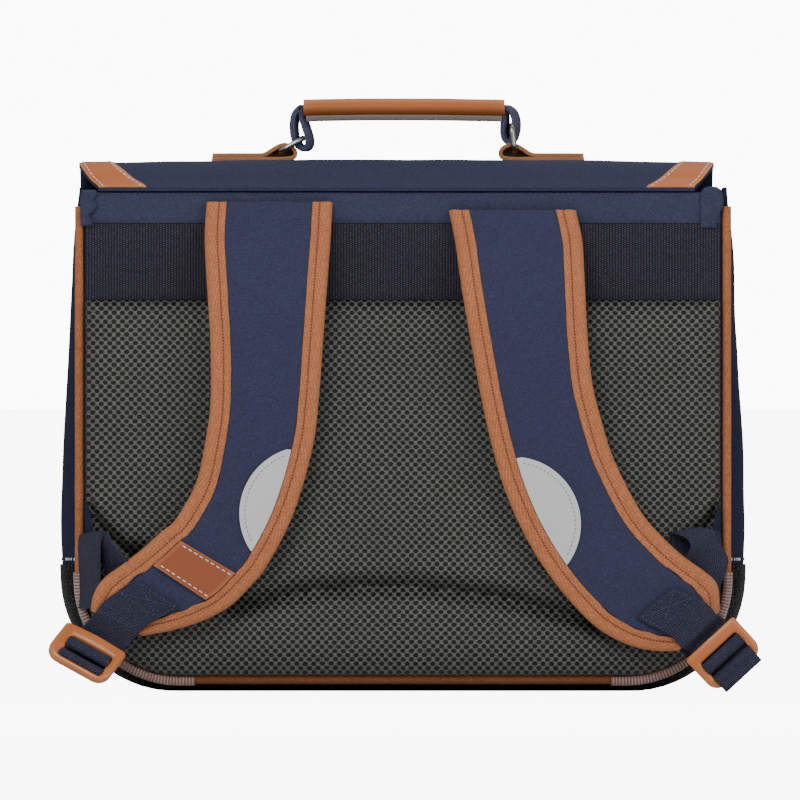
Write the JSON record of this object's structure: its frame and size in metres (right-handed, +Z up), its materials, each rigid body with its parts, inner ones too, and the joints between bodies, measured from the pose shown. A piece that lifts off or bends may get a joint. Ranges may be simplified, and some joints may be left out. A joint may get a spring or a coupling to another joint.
{
  "type": "school ransel",
  "caption": "A hollow flapped school satchel seen from the back, with an air mesh pad, two padded shoulder straps with tan bindings and buckles, and a leather carrying handle.",
  "frame": {"origin": "Centre of the base, on the floor, with the bag standing upright.", "axes": "+Z up along the bag's height, -Y out of the back pad towards the wearer, +Y out of the flap's front, +X to the right when looking at the back pad."},
  "size_m": [0.4221, 0.2158, 0.357],
  "materials": {
    "twill": "woven matte",
    "webbing": "ribbed webbing",
    "air_mesh": "air mesh knit",
    "cover": "coated textured",
    "leather": "smooth satin",
    "binding": "ribbed binding",
    "moulded": "moulded satin",
    "guard": "clear ribbed",
    "reflective": "retroreflective film",
    "metal": "bright wire",
    "suede": "brushed"
  },
  "bodies": {
    "root": {"back_panel": "twill", "gusset": "twill", "front_panel": "twill", "yoke_band": "twill", "gusset_ear_left": "twill", "gusset_ear_right": "twill", "flap": "twill", "strap_left": "twill", "strap_right": "twill", "adjuster_anchor_left": "twill", "adjuster_anchor_right": "twill", "webbing_band": "webbing", "handle_loop_left": "webbing", "handle_loop_right": "webbing", "strap_tab_left": "webbing", "strap_tab_right": "webbing", "adjuster_left": "webbing", "adjuster_right": "webbing", "back_pad": "air_mesh", "gusset_reinforcement": "cover", "flap_trim_left": "leather", "flap_trim_right": "leather", "flap_clasp_left": "leather", "flap_clasp_right": "leather", "handle_grip": "leather", "handle_anchor_left": "leather", "handle_anchor_right": "leather", "strap_patch": "leather", "piping_back": "binding", "piping_front": "binding", "strap_left_binding_outer": "binding", "strap_left_binding_inner": "binding", "strap_right_binding_outer": "binding", "strap_right_binding_inner": "binding", "buckle_left": "moulded", "buckle_right": "moulded", "piping_sleeve_left": "guard", "piping_sleeve_right": "guard", "reflector_left": "reflective", "reflector_right": "reflective", "handle_ring_left": "metal", "handle_ring_right": "metal", "handle_underside": "suede"}
  },
  "joints": []
}
